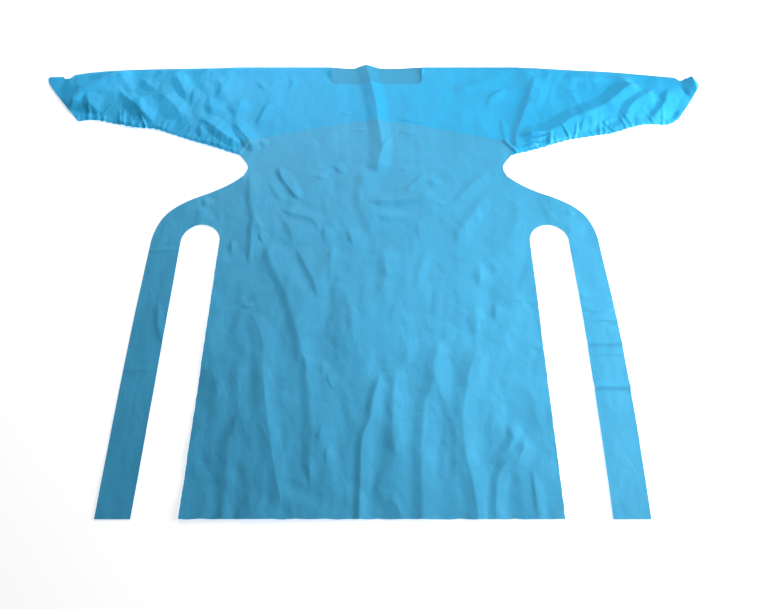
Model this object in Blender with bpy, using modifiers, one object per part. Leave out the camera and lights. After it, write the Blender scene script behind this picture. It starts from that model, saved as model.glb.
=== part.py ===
"""Isolation gown of thin blue film, lying flat with its front up.

The hem points to -Y, the neck to +Y, and the underside lies on Z = 0. Left and right are the
wearer's, so the right sleeve lies toward -X. The shapes are worked out in the gown's own plan, in
millimetres: x from the middle of the hem, y up the gown, z up from the surface. place() turns that
plan into metres in the part's frame.
"""

import math
import random
from collections import namedtuple

import bpy
import numpy as np
from mathutils.geometry import delaunay_2d_cdt

# Sizes of the cut, in millimetres
MM = 0.001
LENGTH = 1200.0
HEM_HALF = 368.0
SLOT_RADIUS = 46.0
SLOT_Y = 625.0
TIE_INNER = HEM_HALF + 2 * SLOT_RADIUS
TIE_OUTER = 530.5
WING_SIDE = (520.0, 760.0)
WING_TOP = (422.0, 733.0)
WING_END = (331.0, 818.0)
ARMPIT = (323.5, 848.0)
ARMHOLE_LOW = (347.0, 884.0)
ARMHOLE_TOP = (443.0, 1197.0)
SHOULDER_X = 390.0
NECK_HALF = 125.5
NECK_Y = 1134.0
NECK_CORNER = 15.0
YOKE_MIDDLE_Y = 1000.0
YOKE_DROP = 72.0
YOKE_DROP_X = 340.0
YOKE_POWER = 1.4
YOKE_END_Y = 905.0
RIGHT_REACH = 903.0
LEFT_REACH = 885.0

# The cloth and how its layers lie
WALL = 1.2
SEAM_GAP = 0.3
LAYER_GAP = 0.4
WELD_LEAN = 0.45
RAISED = WALL + LAYER_GAP
FOLDED = RAISED + WALL
STEP_CLEAR = 4.0
STEP_RUN = 26.0
LOFT = 2.6
LOFT_RUN = 60.0
EDGE_FADE = 14.0
END_SHARE = 0.22

# The gathers along a weld: how much each varies in place and lean, and its size
GATHER_HALF = 7.5
GATHER_FOOT = 8.0
GATHER_SWELL = 11.0
GATHER_REACH = (26.0, 48.0)
GATHER_HEIGHT = (2.6, 3.8)
GATHER_END_HEIGHT = 2.0
GATHER_SHIFT = 0.18
GATHER_LEAN = 0.25

# How fine the sheets are, in millimetres
EDGE_STEP = 34.0
CURVE_STEP = 12.0
FOLD_STEP = 34.0
GATHER_STEP = 9.0
SEAM_STEP = 4.0
ROUTE_STEP = 18.0
TALL_FOLD = 4.5
TALL_LANES = (0.0, -1.0, 1.0, -0.45, 0.45)
LOW_LANES = (0.0, -1.0, 1.0)
ROUND_STEPS = 4
SHARP_ANGLE = 50
FIELD_STEP = 58.0
FIELD_CLEAR = 30.0
LEAST_GAP = 6.5
SAME_POINT = 0.05

# One crease of the film: its height at both ends of its route, how far its flanks spread to the
# right and to the left of the route, and the route of its crest.
Fold = namedtuple("Fold", "start end right left route")

# The ridge down the middle, along the line where the gown was packed folded
MIDDLE_RIDGE = Fold(16.5, 4.0, 52, 32, ((-36, 1290), (-30, 1205), (-18, 1150), (-8, 1100), (0, 1050),
                                        (5, 1000), (13, 950), (15, 900), (8, 860), (2, 790)))
BACK_RIDGE = MIDDLE_RIDGE._replace(start=12.5, end=2.0)

BODY_FOLDS = (
    MIDDLE_RIDGE,
    Fold(5.0, 4.0, 30, 22, ((205, 1098), (290, 1138), (372, 1172))),
    Fold(3.5, 2.5, 14, 22, ((-312, 838), (-311, 793), (-305, 735), (-286, 685), (-258, 636))),
    Fold(3.0, 2.5, 14, 25, ((-264, 806), (-246, 770), (-220, 732))),
    Fold(3.0, 2.5, 12, 18, ((-235, 724), (-202, 706), (-150, 689), (-134, 654))),
    Fold(4.0, 3.0, 20, 32, ((-36, 848), (-32, 793), (-37, 762), (-30, 720), (-14, 676), (-8, 640))),
    Fold(3.0, 2.5, 14, 22, ((-226, 694), (-201, 657), (-195, 618))),
    Fold(3.5, 3.0, 12, 26, ((-186, 612), (-168, 577), (-148, 538), (-134, 506), (-126, 470))),
    Fold(4.5, 4.0, 18, 36, ((-258, 618), (-232, 551), (-212, 512), (-194, 466), (-178, 419), (-157, 354),
                            (-143, 296), (-133, 235), (-126, 160), (-124, 70))),
    Fold(3.5, 4.0, 26, 18, ((-276, 440), (-243, 373), (-234, 296), (-217, 204), (-203, 140), (-186, 70),
                            (-168, 14))),
    Fold(3.0, 3.0, 22, 16, ((-291, 330), (-284, 265), (-276, 200), (-287, 150), (-286, 70), (-284, -40))),
    Fold(4.0, 4.0, 16, 22, ((-22, 742), (35, 741), (97, 748), (152, 768))),
    Fold(4.0, 3.5, 18, 20, ((288, 834), (252, 801), (221, 766), (188, 732))),
    Fold(4.0, 3.5, 20, 22, ((275, 766), (243, 711), (212, 661), (190, 620))),
    Fold(3.0, 2.5, 16, 14, ((131, 608), (114, 576), (102, 533), (94, 496))),
    Fold(4.0, 3.0, 22, 26, ((20, 614), (27, 540), (14, 476))),
    Fold(4.5, 5.0, 22, 26, ((150, 374), (130, 323), (129, 277), (111, 240), (100, 165), (97, 100),
                            (98, 0), (99, -60))),
    Fold(5.5, 6.0, 26, 24, ((230, 366), (203, 296), (194, 250), (183, 190), (187, 119), (198, 60),
                            (206, -60))),
    Fold(4.0, 3.5, 16, 18, ((310, 172), (299, 126), (270, 108), (250, 85), (238, 30), (234, -50))),
    Fold(5.0, 4.5, 20, 24, ((18, 300), (0, 235), (-6, 195), (-22, 150), (-23, 90), (-25, -50))),
)

LEFT_FOLDS = (
    Fold(6.0, 6.0, 15, 34, ((441, 1164), (422, 1110), (413, 1080), (398, 1040), (380, 990), (364, 940),
                            (357, 896))),
    Fold(9.0, 6.5, 28, 40, ((712, 1140), (672, 1102), (622, 1056), (570, 1024), (515, 998), (482, 970),
                            (448, 954), (372, 938))),
    Fold(7.5, 6.0, 22, 34, ((756, 1112), (727, 1083), (702, 1062), (678, 1042), (662, 1014), (654, 990))),
    Fold(6.5, 5.0, 18, 28, ((794, 1112), (776, 1066), (756, 1034), (736, 1008), (720, 990))),
    Fold(6.5, 6.0, 36, 26, ((884, 1150), (874, 1112), (862, 1076), (850, 1046))),
    Fold(5.0, 5.0, 16, 24, ((510, 1152), (600, 1150), (716, 1142))),
)

RIGHT_FOLDS = (
    Fold(7.5, 9.0, 22, 56, ((-672, 1176), (-730, 1140), (-758, 1115), (-788, 1092), (-800, 1070),
                            (-818, 1036))),
    Fold(5.0, 4.5, 12, 24, ((-776, 1098), (-771, 1068), (-757, 1044), (-732, 1022))),
    Fold(6.5, 6.0, 20, 18, ((-696, 1100), (-640, 1048), (-612, 1012), (-580, 988))),
    Fold(6.0, 5.5, 13, 28, ((-632, 1096), (-631, 1060), (-612, 1020), (-588, 994))),
    Fold(7.0, 6.0, 38, 20, ((-590, 1098), (-540, 1050), (-508, 1000))),
    Fold(6.0, 5.0, 16, 20, ((-558, 1174), (-529, 1120), (-503, 1066))),
    Fold(5.0, 4.5, 13, 18, ((-438, 1158), (-420, 1112), (-430, 1072))),
    Fold(5.5, 5.5, 14, 20, ((-374, 1002), (-350, 958), (-327, 930), (-312, 890))),
    Fold(6.0, 5.5, 14, 22, ((-468, 1010), (-430, 978), (-390, 944), (-340, 910))),
)

# A sleeve's outline beyond the armhole, x counted outward: the fold on top, the thumb hole cut
# through it, the tip, the cuff and the gathered underarm weld, with the number of its gathers.
Sleeve = namedtuple("Sleeve", "name side fold thumb tip cuff underarm gathers seed")

SLEEVES = (
    Sleeve(
        "sleeve_left", 1,
        ((443, 1197), (542, 1189), (652, 1181), (761, 1168), (826, 1160)),
        ((826, 1160), (829, 1144), (838, 1140), (851, 1149)),
        ((851, 1149), (863, 1151), (885, 1138)),
        ((885, 1138), (877, 1116), (851, 1074), (804, 1008)),
        ((804, 1008), (768, 988), (699, 985), (614, 958), (518, 938), (452, 916), (388, 897), (347, 884)),
        19, 7,
    ),
    Sleeve(
        "sleeve_right", -1,
        ((443, 1197), (600, 1193), (715, 1188), (790, 1180), (838, 1170)),
        ((838, 1170), (841, 1154), (857, 1152), (867, 1163)),
        ((867, 1163), (903, 1162)),
        ((903, 1162), (896, 1132), (848, 1070), (789, 1000)),
        ((789, 1000), (742, 1003), (641, 978), (577, 970), (476, 932), (411, 909), (347, 884)),
        25, 3,
    ),
)

# A tie's inner and outer edge at each height, x counted outward
TieRow = namedtuple("TieRow", "y inner outer")
TIES = (
    ("tie_left", 1, (TieRow(625, 460, 530.5), TieRow(420, 464, 539), TieRow(210, 463.5, 539),
                     TieRow(0, 460, 533))),
    ("tie_right", -1, (TieRow(625, 460, 530.5), TieRow(420, 460, 533), TieRow(210, 460, 532),
                       TieRow(0, 460, 529))),
)
TIE_FOLDS = (
    Fold(2.5, 2.5, 14, 14, ((440, 258), (500, 264), (560, 262))),
    Fold(2.0, 2.0, 12, 14, ((440, 366), (500, 362), (560, 360))),
    Fold(2.5, 2.0, 10, 12, ((-488, 470), (-476, 410), (-455, 356))),
)

FOLDS = BODY_FOLDS + LEFT_FOLDS + RIGHT_FOLDS

# Linear colours of the film: one layer over a dark ground, and two layers
FRONT_BLUE = (0.052, 0.332, 0.563, 1.0)
YOKE_BLUE = (0.067, 0.402, 0.651, 1.0)
SLEEVE_BLUE = (0.060, 0.440, 0.800, 1.0)
TIE_BLUE = (0.055, 0.340, 0.570, 1.0)


def place(points):
    """Metres in the part's frame: the plan's box is centred over the origin."""
    shift = np.array(((RIGHT_REACH - LEFT_REACH) / 2, -LENGTH / 2, 0.0))
    return (np.asarray(points, float) + shift) * MM


def flip(points, side):
    """The points with x turned to the given side."""
    return [(side * x, y) for x, y in points]


def spaced(points, step):
    """Points along the straight runs between the given points, about a step apart."""
    found = [points[0]]
    for (x0, y0), (x1, y1) in zip(points, points[1:]):
        count = max(1, round(math.hypot(x1 - x0, y1 - y0) / step))
        found += [(x0 + (x1 - x0) * i / count, y0 + (y1 - y0) * i / count) for i in range(1, count + 1)]
    return found


def smooth(points, step):
    """Points about a step apart on a smooth curve through the given points."""
    padded = [points[0], *points, points[-1]]
    found = [points[0]]
    for before, here, there, after in zip(padded, padded[1:], padded[2:], padded[3:]):
        count = max(1, round(math.dist(here, there) / step))
        for i in range(1, count + 1):
            t = i / count
            weights = (2 * t**2 - t - t**3, 2 - 5 * t**2 + 3 * t**3, t + 4 * t**2 - 3 * t**3, t**3 - t**2)
            near = (before, here, there, after)
            found.append(tuple(sum(w * p[k] for w, p in zip(weights, near)) / 2 for k in (0, 1)))
    return found


def arc(centre, radius, first, last, step=CURVE_STEP):
    """Points on an arc between two angles in degrees."""
    count = max(2, round(abs(math.radians(last - first)) * radius / step))
    angles = [math.radians(first + (last - first) * i / count) for i in range(count + 1)]
    return [(centre[0] + radius * math.cos(a), centre[1] + radius * math.sin(a)) for a in angles]


def bezier(a, b, c, d, step=CURVE_STEP):
    """Points on a Bezier curve from a to d."""
    count = max(2, round((math.dist(a, b) + math.dist(b, c) + math.dist(c, d)) / step))
    found = []
    for i in range(count + 1):
        t = i / count
        weights = ((1 - t) ** 3, 3 * t * (1 - t) ** 2, 3 * t * t * (1 - t), t**3)
        found.append(tuple(sum(w * p[k] for w, p in zip(weights, (a, b, c, d))) for k in (0, 1)))
    return found


def joined(*runs):
    """One list of points from runs that meet end to end, with no point twice."""
    found = []
    for point in (point for run in runs for point in run):
        if not found or math.dist(point, found[-1]) > SAME_POINT:
            found.append(point)
    if math.dist(found[0], found[-1]) < SAME_POINT:
        found.pop()
    return found


def ramp(t):
    """0 to 1, level at both ends."""
    t = np.clip(t, 0.0, 1.0)
    return t * t * (3 - 2 * t)


def fold_height(fold, xy):
    """How far one crease lifts the film at each point."""
    route = np.array(smooth(fold.route, ROUTE_STEP))
    lengths = np.hypot(*np.diff(route, axis=0).T)
    before = np.concatenate(([0.0], np.cumsum(lengths)))
    nearest = np.full(len(xy), np.inf)
    along = np.zeros(len(xy))
    leftward = np.zeros(len(xy), bool)
    for a, b, length, start in zip(route, route[1:], lengths, before):
        t = np.clip((xy - a) @ (b - a) / length**2, 0.0, 1.0)
        away = xy - (a + t[:, None] * (b - a))
        distance = np.hypot(*away.T)
        closer = distance < nearest - 1e-6
        side = (b - a)[0] * (xy - a)[:, 1] - (b - a)[1] * (xy - a)[:, 0] > 0
        nearest = np.where(closer, distance, nearest)
        along = np.where(closer, (start + t * length) / before[-1], along)
        leftward = np.where(closer, side, leftward)
    t = np.clip(nearest / np.where(leftward, fold.left, fold.right), 0.0, 1.0)
    crest = fold.start + (fold.end - fold.start) * along
    ends = ramp(along / END_SHARE) * ramp((1 - along) / END_SHARE)
    return crest * ends * (1 - t) ** 2 * (1 + t)


def lift(folds, xy):
    """How far the creases together lift the film at each point."""
    return sum((fold_height(fold, xy) for fold in folds), np.zeros(len(xy)))


def fold_lanes(folds):
    """Points on each crease: along its crest, half way down its flanks and at their feet."""
    for fold in sorted(folds, key=lambda fold: -max(fold.start, fold.end)):
        shares = TALL_LANES if max(fold.start, fold.end) > TALL_FOLD else LOW_LANES
        route = smooth(fold.route, FOLD_STEP)
        for share in shares:
            for i, (x, y) in enumerate(route):
                ahead = route[min(i + 1, len(route) - 1)]
                behind = route[max(i - 1, 0)]
                run = math.dist(ahead, behind)
                reach = share * (fold.left if share > 0 else fold.right)
                yield x - (ahead[1] - behind[1]) / run * reach, y + (ahead[0] - behind[0]) / run * reach


def inside(outline, points):
    """Which points lie inside the outline."""
    ring = np.array(outline)
    after = np.roll(ring, -1, axis=0)
    px, py = points[:, :1], points[:, 1:]
    crosses = (ring[:, 1] > py) != (after[:, 1] > py)
    rise = np.where(after[:, 1] == ring[:, 1], 1.0, after[:, 1] - ring[:, 1])
    at = ring[:, 0] + (py - ring[:, 1]) * (after[:, 0] - ring[:, 0]) / rise
    return (crosses & (px < at)).sum(axis=1) % 2 == 1


def edge_distance(outline, counted, xy):
    """How far each point is from the nearest of the outline's counted edges."""
    ring = np.array(outline)
    nearest = np.full(len(xy), np.inf)
    for i, counts in enumerate(counted):
        if counts:
            a, run = ring[i], ring[(i + 1) % len(ring)] - ring[i]
            t = np.clip((xy - a) @ run / (run @ run), 0.0, 1.0)
            nearest = np.minimum(nearest, np.hypot(*(xy - a - t[:, None] * run).T))
    return nearest


def field_points(outline):
    """An even field of points over the outline's box, each row half a step along from the last."""
    low, high = np.min(outline, axis=0), np.max(outline, axis=0)
    rows = math.ceil((high[1] - low[1]) / (FIELD_STEP * math.sin(math.radians(60))))
    columns = math.ceil((high[0] - low[0]) / FIELD_STEP) + 1
    for row in range(1, rows):
        for column in range(columns):
            yield low[0] + (column - 0.5 * (row % 2)) * FIELD_STEP, low[1] + row * (high[1] - low[1]) / rows


def spread(outline, folds, shared=()):
    """The outline's points, then those inside it: the ones shared with the layer that lies on it or
    under it, close ones along the creases, and ones wide apart elsewhere."""
    kept = list(outline)
    groups = ((shared, LEAST_GAP / 2), (fold_lanes(folds), LEAST_GAP), (field_points(outline), FIELD_CLEAR))
    for points, clear in groups:
        points = np.array(list(points), float).reshape(-1, 2)
        clear_of_rim = edge_distance(outline, [True] * len(outline), points) > LEAST_GAP / 2
        for point in points[inside(outline, points) & clear_of_rim]:
            if np.hypot(*(np.array(kept) - point).T).min() > clear:
                kept.append(tuple(point))
    return np.array(kept)


def triangles(points, rim):
    """Triangles between the points, inside the rim, which is the first points in order."""
    edges = [(i, (i + 1) % rim) for i in range(rim)]
    faces = delaunay_2d_cdt([tuple(map(float, point)) for point in points], edges, [], 1, 1e-4)[2]
    return [tuple(face) for face in faces]


def armhole_x(y):
    """Where the armhole's line lies at a height."""
    (low_x, low_y), (top_x, top_y) = ARMHOLE_LOW, ARMHOLE_TOP
    return low_x + (top_x - low_x) * (y - low_y) / (top_y - low_y)


def body_corner(y):
    """The point of the body's armhole edge at a height."""
    return armhole_x(y) - SEAM_GAP / 2, y


def sleeve_edge_x(y):
    """Where a sleeve begins: a seam's gap out from the armhole's line, and clear of it at the weld, where
    the inner face of the sloping wall leans back."""
    share = (ARMHOLE_TOP[1] - y) / (ARMHOLE_TOP[1] - ARMHOLE_LOW[1])
    return armhole_x(y) + SEAM_GAP / 2 + WELD_LEAN * share


def yoke_edge(x):
    """The back yoke's lower edge: a flat arch that drops to the underarm at its ends."""
    x = np.abs(x)
    arch = YOKE_MIDDLE_Y - YOKE_DROP * (x / YOKE_DROP_X) ** YOKE_POWER
    past = np.clip((x - YOKE_DROP_X) / (armhole_x(YOKE_END_Y) - YOKE_DROP_X), 0.0, 1.0)
    low = YOKE_MIDDLE_Y - YOKE_DROP
    return np.where(x < YOKE_DROP_X, arch, low - past * (low - YOKE_END_Y))


def front_outline():
    """The front with its side wings, as far as the ties' heads, the armholes and the shoulder fold."""
    low, top = body_corner(ARMHOLE_LOW[1]), body_corner(ARMHOLE_TOP[1] - WALL)
    half = joined(
        spaced(((0, 0), (HEM_HALF, 0), (HEM_HALF, SLOT_Y)), EDGE_STEP),
        arc((HEM_HALF + SLOT_RADIUS, SLOT_Y), SLOT_RADIUS, 180, 0),
        spaced(((TIE_INNER, SLOT_Y), (TIE_OUTER, SLOT_Y)), EDGE_STEP),
        bezier((TIE_OUTER, SLOT_Y), WING_SIDE, WING_TOP, WING_END, 2 * CURVE_STEP),
        smooth((WING_END, ARMPIT, low), CURVE_STEP),
        spaced((low, top, (SHOULDER_X, LENGTH - WALL), (NECK_HALF, LENGTH - WALL)), EDGE_STEP),
        spaced(((NECK_HALF, LENGTH - WALL), (NECK_HALF, NECK_Y + NECK_CORNER)), EDGE_STEP / 2),
        arc((NECK_HALF - NECK_CORNER, NECK_Y + NECK_CORNER), NECK_CORNER, 0, -90),
        spaced(((NECK_HALF - NECK_CORNER, NECK_Y), (0, NECK_Y)), EDGE_STEP / 2),
    )
    return joined(half, flip(half, -1)[::-1])


def front_points(outline):
    """The front's points in plan, those over the yoke's lower edge among them."""
    return spread(outline, FOLDS, [point for point in yoke_outline() if point[1] < YOKE_MIDDLE_Y + 1])


def front_height(xy):
    """The front's underside: on the surface, and over the yoke where that lies under it."""
    below = (yoke_edge(xy[:, 0]) - xy[:, 1] - STEP_CLEAR) / STEP_RUN
    return RAISED * (1 - ramp(below)) + lift(FOLDS, xy)


def front_panel():
    """The front's underside, turned down along the shoulder fold to the surface behind the yoke."""
    outline = front_outline()
    points = front_points(outline)
    faces = triangles(points, len(outline))
    underside = np.column_stack((points, front_height(points)))
    fold_y = ARMHOLE_TOP[1] - 2 * WALL
    turned = [i for i, (x, y) in enumerate(outline) if y > fold_y and abs(x) > NECK_HALF - WALL]
    lower = {i: len(points) + k for k, i in enumerate(turned)}
    skirt = [(*outline[i], 0.0) for i in turned]
    faces += [(i + 1, i, lower[i], lower[i + 1]) for i in turned if i + 1 in lower]
    return np.vstack((underside, skirt)), faces


def yoke_outline():
    """The short upper back: its arched lower edge, the armholes, the fold and the back neck edge."""
    drop = WALL + SEAM_GAP
    low, top = body_corner(YOKE_END_Y), body_corner(ARMHOLE_TOP[1] - drop)
    half = joined(
        [(x, float(yoke_edge(x))) for x, _ in spaced(((0, 0), (YOKE_DROP_X, 0)), EDGE_STEP / 2)],
        spaced((low, top, (SHOULDER_X, LENGTH - drop), (0, LENGTH - drop)), EDGE_STEP),
    )
    return joined(half, flip(half, -1)[::-1])


def back_yoke():
    """The yoke's underside, flat but for the ridge down its middle."""
    outline = yoke_outline()
    points = spread(outline, (BACK_RIDGE,), front_points(front_outline()))
    return np.column_stack((points, fold_height(BACK_RIDGE, points))), triangles(points, len(outline))


def tie(side, rows):
    """A tie's underside, from its end at the hem to its head at the slot."""
    head = SLOT_Y - SEAM_GAP
    outer = smooth([(side * row.outer, min(row.y, head)) for row in rows], EDGE_STEP)
    inner = smooth([(side * row.inner, min(row.y, head)) for row in rows], EDGE_STEP)
    across = spaced((outer[0], inner[0]), EDGE_STEP), spaced((inner[-1], outer[-1]), EDGE_STEP)
    outline = joined(outer[::-1], across[0], inner, across[1])
    if side < 0:
        outline.reverse()
    points = spread(outline, TIE_FOLDS)
    return np.column_stack((points, lift(TIE_FOLDS, points))), triangles(points, len(outline))


def gathers(sleeve):
    """The short uneven creases that rise from the underarm weld, where its film was drawn up."""
    chance = random.Random(sleeve.seed)
    seam = smooth(sleeve.underarm, SEAM_STEP)
    spacing = len(seam) / sleeve.gathers
    found = []
    for i in range(sleeve.gathers):
        at = int((i + 0.5 + chance.uniform(-GATHER_SHIFT, GATHER_SHIFT)) * spacing)
        (x0, y0), (x1, y1) = seam[max(at - 3, 0)], seam[min(at + 3, len(seam) - 1)]
        run = math.hypot(x1 - x0, y1 - y0)
        up = ((y1 - y0) / run + chance.uniform(-GATHER_LEAN, GATHER_LEAN), -(x1 - x0) / run)
        stops = (-GATHER_FOOT, GATHER_SWELL, chance.uniform(*GATHER_REACH))
        route = [(sleeve.side * (seam[at][0] + up[0] * far), seam[at][1] + up[1] * far) for far in stops]
        height = chance.uniform(*GATHER_HEIGHT)
        found.append(Fold(height, GATHER_END_HEIGHT, GATHER_HALF, GATHER_HALF, route))
    return tuple(found)


def sleeve_outline(sleeve):
    """The sleeve's outline, and which of its edges are closed: the fold and the weld."""
    arm = [(sleeve_edge_x(y), y) for _, y in spaced((ARMHOLE_TOP, ARMHOLE_LOW), EDGE_STEP)]
    runs = (
        (True, smooth(sleeve.underarm, GATHER_STEP)[::-1]),
        (False, smooth(sleeve.cuff, EDGE_STEP)[::-1]),
        (True, spaced(sleeve.tip, CURVE_STEP)[::-1]),
        (False, spaced(sleeve.thumb, CURVE_STEP)[::-1]),
        (True, smooth(sleeve.fold, EDGE_STEP)[::-1]),
        (False, arm),
    )
    outline, closed = [], []
    for shut, points in runs:
        outline += flip(points[:-1], sleeve.side)
        closed += [shut] * (len(points) - 1)
    if sleeve.side < 0:
        outline.reverse()
        closed = closed[-2::-1] + closed[-1:]
    return outline, closed


def drawn_in(outline, closed, depth):
    """The outline with its closed edges drawn in by a depth, and each point's way outward."""
    points, outward = np.array(outline, float), np.zeros((len(outline), 2))
    for i, shut in enumerate(closed):
        j = (i + 1) % len(outline)
        run = points[j] - points[i]
        if shut:
            for k in (i, j):
                outward[k] += (run[1], -run[0]) / np.hypot(*run)
    size = np.hypot(*outward.T)
    outward[size > 0] /= size[size > 0, None]
    return [tuple(point) for point in points - depth * outward], outward


def sleeve(row):
    """The sleeve's outer face: a tube pressed flat, closed by its fold and its weld."""
    outline, closed = sleeve_outline(row)
    round_radius = FOLDED / 2
    outline, outward = drawn_in(outline, closed, round_radius)
    outline = [(row.side * max(abs(x), sleeve_edge_x(y)), y) for x, y in outline]
    rim = len(outline)
    folds = FOLDS + gathers(row)
    top = spread(outline, folds)
    away = edge_distance(outline, closed, top)
    puff = LOFT * ramp(away / LOFT_RUN) * ramp((np.abs(top[:, 0]) - armhole_x(top[:, 1])) / LOFT_RUN)
    rise = (puff + lift(folds, top)) * ramp(away / EDGE_FADE)
    under = spread(outline, ())
    points = [np.column_stack((top, FOLDED + rise)), np.column_stack((under, np.zeros(len(under))))]
    start = len(top)
    faces = triangles(top, rim) + [(start + c, start + b, start + a) for a, b, c in triangles(under, rim)]
    levels = [list(range(rim))]
    for k in range(1, ROUND_STEPS):
        turn = math.pi * k / ROUND_STEPS
        reach, height = round_radius * math.sin(turn), round_radius * (1 + math.cos(turn))
        level = {}
        for i in range(rim):
            if closed[i] or closed[i - 1]:
                level[i] = sum(len(part) for part in points)
                points.append(np.array([(*(np.array(outline[i]) + reach * outward[i]), height)]))
        levels.append(level)
    levels.append([start + i for i in range(rim)])
    for upper, lower in zip(levels, levels[1:]):
        faces += [
            (upper[(i + 1) % rim], upper[i], lower[i], lower[(i + 1) % rim]) for i in range(rim) if closed[i]
        ]
    return np.vstack(points), faces


def film(name, colour):
    """The gown's film in one piece's shade of blue."""
    material = bpy.data.materials.new(name)
    material.use_nodes = True
    shader = material.node_tree.nodes["Principled BSDF"]
    shader.inputs["Base Color"].default_value = colour
    shader.inputs["Roughness"].default_value = 0.4
    shader.inputs["Metallic"].default_value = 0.0
    return material


def solid(name, shape, way, colour, collection):
    """A node made from one face of its cloth, thickened by the wall: 1 outward, -1 inward."""
    points, faces = shape
    mesh = bpy.data.meshes.new(name)
    mesh.from_pydata([tuple(map(float, point)) for point in place(points)], [], faces)
    mesh.shade_smooth()
    mesh.materials.append(film(name + "_film", colour))
    made = bpy.data.objects.new(name, mesh)
    collection.objects.link(made)
    wall = made.modifiers.new("wall", "SOLIDIFY")
    wall.thickness = WALL * MM
    wall.offset = way
    graph = bpy.context.evaluated_depsgraph_get()
    made.data = bpy.data.meshes.new_from_object(made.evaluated_get(graph))
    made.data.name = name
    made.modifiers.clear()
    bpy.data.meshes.remove(mesh)
    made.data.set_sharp_from_angle(angle=math.radians(SHARP_ANGLE))


def build():
    """Clears the scene and makes the gown."""
    for old in list(bpy.data.objects):
        bpy.data.objects.remove(old, do_unlink=True)
    gown = bpy.data.collections.new("isolation_gown")
    bpy.context.scene.collection.children.link(gown)
    solid("front_panel", front_panel(), 1, FRONT_BLUE, gown)
    solid("back_yoke", back_yoke(), 1, YOKE_BLUE, gown)
    for name, side, rows in TIES:
        solid(name, tie(side, rows), 1, TIE_BLUE, gown)
    for row in SLEEVES:
        solid(row.name, sleeve(row), -1, SLEEVE_BLUE, gown)


build()
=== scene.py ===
"""Isolation gown of thin blown film, laid flat with its front up.

The film of each panel is worked out in the gown's own plan, in millimetres: x from the middle of the
hem, y up the gown, z up from the surface. Left and right are the wearer's. place() turns the plan into
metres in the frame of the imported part.
"""

import math
import random
from collections import namedtuple
import bpy
import numpy as np
from mathutils.geometry import delaunay_2d_cdt
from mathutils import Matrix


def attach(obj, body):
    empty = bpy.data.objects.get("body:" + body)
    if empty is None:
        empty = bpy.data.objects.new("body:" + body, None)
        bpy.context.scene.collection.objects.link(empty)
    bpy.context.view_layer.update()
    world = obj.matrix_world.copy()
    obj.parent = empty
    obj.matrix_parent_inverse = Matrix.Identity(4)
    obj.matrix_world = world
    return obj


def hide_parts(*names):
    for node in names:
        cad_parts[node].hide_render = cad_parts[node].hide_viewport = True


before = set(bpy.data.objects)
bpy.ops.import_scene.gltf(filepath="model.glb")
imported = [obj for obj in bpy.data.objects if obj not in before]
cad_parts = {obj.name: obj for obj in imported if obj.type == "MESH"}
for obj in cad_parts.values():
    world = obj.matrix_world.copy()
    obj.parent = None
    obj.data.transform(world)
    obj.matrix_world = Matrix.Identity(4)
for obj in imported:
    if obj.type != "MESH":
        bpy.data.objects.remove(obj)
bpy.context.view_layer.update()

# The cut of the gown, in millimetres
MM = 0.001
LENGTH = 1200.0
HEM_HALF = 368.0
SLOT_RADIUS = 46.0
SLOT_Y = 625.0
TIE_INNER = HEM_HALF + 2 * SLOT_RADIUS
TIE_OUTER = 530.5
WING_SIDE = (520.0, 760.0)
WING_TOP = (422.0, 733.0)
WING_END = (331.0, 818.0)
ARMPIT = (323.5, 848.0)
ARMHOLE_LOW = (347.0, 884.0)
ARMHOLE_TOP = (443.0, 1197.0)
SHOULDER_X = 390.0
NECK_HALF = 125.5
NECK_Y = 1134.0
NECK_CORNER = 15.0
YOKE_MIDDLE_Y = 1000.0
YOKE_DROP = 72.0
YOKE_DROP_X = 340.0
YOKE_POWER = 1.4
YOKE_END_Y = 905.0
RIGHT_REACH = 903.0
LEFT_REACH = 885.0

# The film, and how its layers lie. Real film is about 0.04 mm thick; it is drawn at 0.4 mm so that
# its cut edges show. What lies within FOLD_BAND of the top belongs to the shoulder fold.
FILM = 0.4
LAYER_GAP = 0.2
FOLD_RADIUS = (2 * FILM + LAYER_GAP) / 2
FOLD_TURNS = 4
FOLD_BAND = 4.0
YOKE_TUCK = 1.2

# Where the front comes down off the yoke's edge, by a step in height and a change of tone, and the air
# inside a sleeve
STEP_CLEAR = 1.0
STEP_RUN = 9.0
TONE_RUN = 3.2
LOFT = 2.6
LOFT_RUN = 60.0

# How creases fade toward the folds, the sleeves' tips and the welds, from where folds and welds are
# measured, and what share of the creases the lower layer takes
EDGE_FADE = 14.0
TIP_STRETCH = 3.0
WELD_FADE = 9.0
WELD_SHARE = 0.6
FOLD_NEAR_X = 90.0
WELD_NEAR_X = 250.0
WELD_NEAR_Y = 780.0
UNDER_SHARE = 0.35
BACK_RIDGE_SHARE = 0.72

# A crease's profile: its crest, its foot and its ends, and the soft limit on how high film lifts
CREST_RADIUS = 0.4
FOOT = 0.025
CREASE_TAPER = 36.0
TAPER_WIDTH = 0.45
LIFT_SOFT = 18.0
LIFT_MOST = 21.0

# The wander of a cut edge: how far it strays, how much more on level edges, and over what run. It is
# for the body's sides below the slots' heads, the hem, and the front neck edge.
CUT_SWAY = 0.8
CUT_LEVEL_SHARE = 1.6
CUT_RUN = 26.0
CUT_STRETCH = (1, 1.37)
CUT_SEED = 31
CUT_SLOT_TOP = 600.0
CUT_NECK_BAND = 14.0
CUT_CORNER = 2.0

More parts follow.
